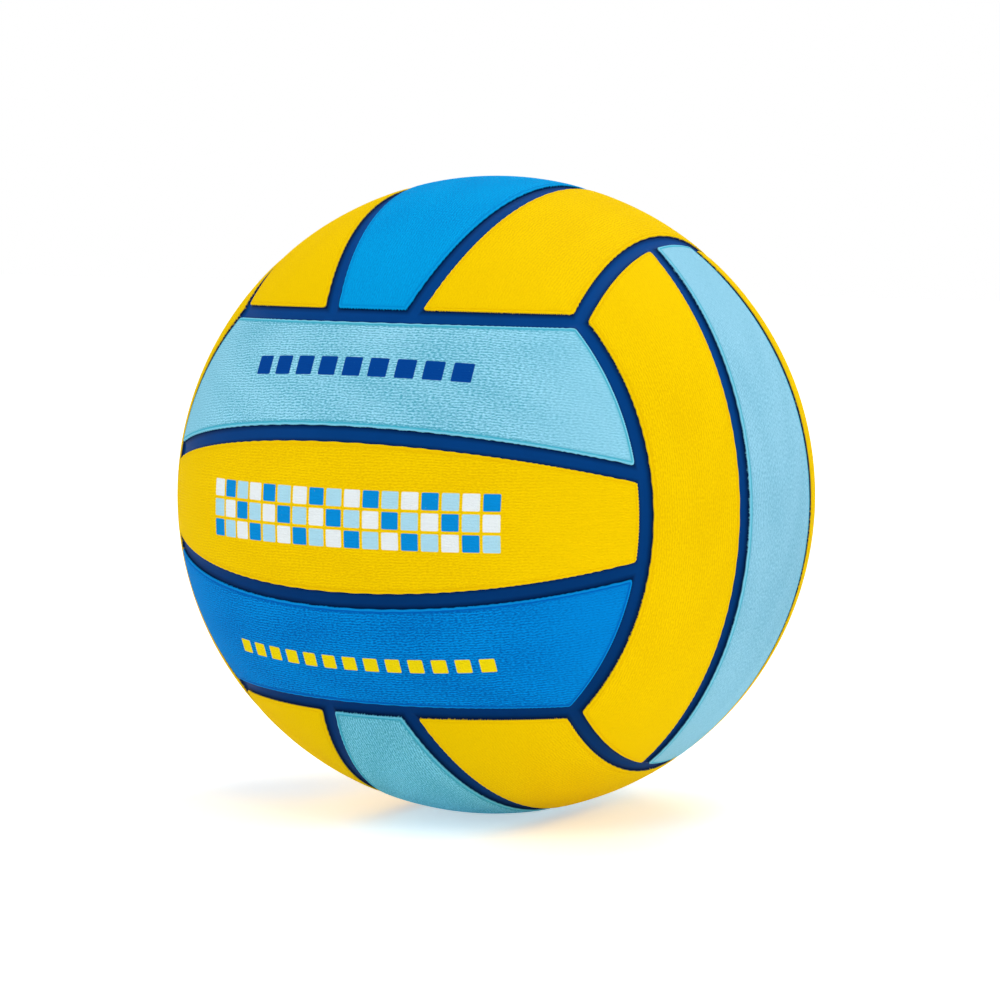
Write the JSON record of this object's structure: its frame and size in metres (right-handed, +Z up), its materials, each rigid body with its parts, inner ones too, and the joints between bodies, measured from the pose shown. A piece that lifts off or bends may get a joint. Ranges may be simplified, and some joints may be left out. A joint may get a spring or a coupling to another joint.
{
  "type": "water polo ball",
  "caption": "Round inflatable ball with a gripped rubber cover of curved strips set between recessed channels, and a needle valve, for throwing and catching in water.",
  "frame": {"origin": "centre of the ball", "axes": "+Z up, -Y towards the face of level strips at the front, +Y along the valve's needle bore, outwards"},
  "size_m": [0.22, 0.2199, 0.22],
  "materials": {
    "yellow_cover": "grained matte",
    "light_blue_cover": "grained matte",
    "blue_cover": "grained matte",
    "navy_rubber": "smooth satin",
    "nylon_thread": "wound thread",
    "black_rubber": "smooth",
    "valve_rubber": "smooth satin"
  },
  "bodies": {
    "ball": {"front_lower_panel": "blue_cover", "front_middle_panel": "yellow_cover", "front_upper_panel": "light_blue_cover", "back_lower_panel": "blue_cover", "back_middle_panel": "yellow_cover", "back_upper_panel": "light_blue_cover", "top_left_panel": "yellow_cover", "top_middle_panel": "blue_cover", "top_right_panel": "yellow_cover", "bottom_left_panel": "yellow_cover", "bottom_middle_panel": "light_blue_cover", "bottom_right_panel": "yellow_cover", "right_front_panel": "yellow_cover", "right_middle_panel": "light_blue_cover", "right_rear_panel": "yellow_cover", "left_front_panel": "yellow_cover", "left_middle_panel": "blue_cover", "left_rear_panel": "yellow_cover", "carcass": "navy_rubber", "thread_winding": "nylon_thread", "bladder": "black_rubber", "valve_housing": "valve_rubber"},
    "valve_core": {"valve_core": "valve_rubber"}
  },
  "joints": [
    {"name": "valve_core_pull", "type": "slide", "parent": "ball", "child": "valve_core", "axis": [0, 1, 0], "range_m": [0, 0.022]}
  ]
}
